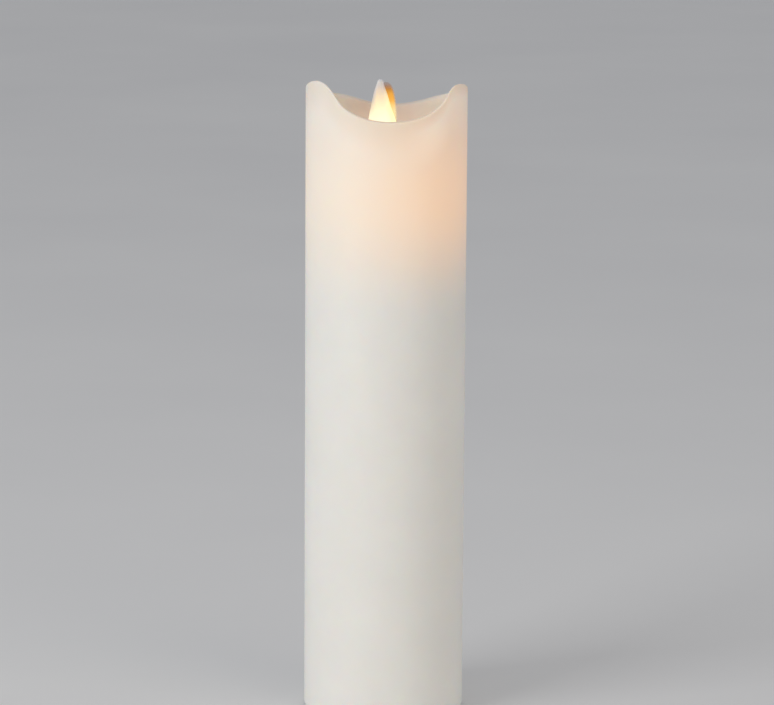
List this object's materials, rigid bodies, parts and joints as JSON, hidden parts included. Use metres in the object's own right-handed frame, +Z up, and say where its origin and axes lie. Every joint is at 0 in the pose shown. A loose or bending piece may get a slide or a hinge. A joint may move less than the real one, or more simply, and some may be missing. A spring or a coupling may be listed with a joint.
{
  "type": "flameless led candle",
  "caption": "Tall ivory wax pillar candle with a melted-look rim, a swinging moving-flame blade in a recessed well, and a battery base with hinged door and slide switch.",
  "frame": {"origin": "centre of the footprint, on the surface that the feet stand on", "axes": "+Z up along the candle's axis, -Y is the front, where the rim dips between its two peaks, +X is the viewer's right"},
  "size_m": [0.075, 0.075, 0.3],
  "materials": {
    "ivory_wax": "soft satin wax",
    "flame_plastic": "satin translucent",
    "sleeve_plastic": "milky translucent",
    "deck_plastic": "fine matte",
    "module_plastic": "fine matte",
    "base_plastic": "fine texture",
    "door_plastic": "fine texture",
    "knob_plastic": "satin",
    "switch_plastic": "satin",
    "screw_steel": "zinc plated",
    "contact_steel": "nickel plated",
    "pivot_steel": "drawn wire",
    "magnet_nickel": "nickel plated",
    "coil_copper": "enamelled copper",
    "bobbin_plastic": "satin",
    "led_epoxy": "clear moulded",
    "lead_tin": "tinned",
    "board_laminate": "solder mask",
    "chip_epoxy": "moulded",
    "capacitor_sleeve": "shrink sleeve",
    "crystal_can": "drawn can",
    "resistor_ceramic": "fired film",
    "connector_nylon": "nylon",
    "wire_yellow": "insulation",
    "wire_white": "insulation",
    "wire_red": "insulation",
    "wire_black": "insulation",
    "cell_jacket": "plain printed sleeve",
    "foot_rubber": "matte"
  },
  "bodies": {
    "candle": {"wax_shell": "ivory_wax", "inner_sleeve": "sleeve_plastic", "deck_plate": "deck_plastic", "deck_screws": "screw_steel", "module_front_half": "module_plastic", "module_rear_half": "module_plastic", "module_half_screws": "screw_steel", "module_tab_screws": "screw_steel", "pivot_wire": "pivot_steel", "coil_bobbin": "bobbin_plastic", "coil_winding": "coil_copper", "led_emitter": "led_epoxy", "led_leads": "lead_tin", "base_housing": "base_plastic", "base_screws": "screw_steel", "rubber_feet": "foot_rubber", "door_hinge_pin": "pivot_steel", "battery_cell_rear": "cell_jacket", "battery_cell_front": "cell_jacket", "positive_contact_plate": "contact_steel", "negative_contact_plate": "contact_steel", "bridge_contact_plate": "contact_steel", "negative_contact_spring": "contact_steel", "bridge_contact_spring": "contact_steel", "switch_body": "switch_plastic", "control_board": "board_laminate", "board_screws": "screw_steel", "controller_chip": "chip_epoxy", "timer_crystal": "crystal_can", "board_capacitor": "capacitor_sleeve", "drive_transistor": "chip_epoxy", "chip_resistors": "resistor_ceramic", "board_header": "connector_nylon", "header_pins": "lead_tin", "wire_plug": "connector_nylon", "led_wires": "wire_yellow", "coil_wires": "wire_white", "battery_wire_red": "wire_red", "battery_wire_black": "wire_black"},
    "flame": {"flame_blade": "flame_plastic", "flame_magnet": "magnet_nickel"},
    "battery_door": {"battery_door": "door_plastic"},
    "switch_knob": {"switch_knob": "knob_plastic"}
  },
  "joints": [
    {"name": "flame_swing", "type": "hinge", "parent": "candle", "child": "flame", "pos_m": [0, 0, 0.248], "axis": [0, 1, 0], "range_deg": [-10, 10]},
    {"name": "battery_door_hinge", "type": "hinge", "parent": "candle", "child": "battery_door", "pos_m": [0, -0.0186, 0.0026], "axis": [-1, 0, 0], "range_deg": [0, 95]},
    {"name": "switch_slide", "type": "slide", "parent": "candle", "child": "switch_knob", "axis": [1, 0, 0], "range_m": [0, 0.004]}
  ]
}
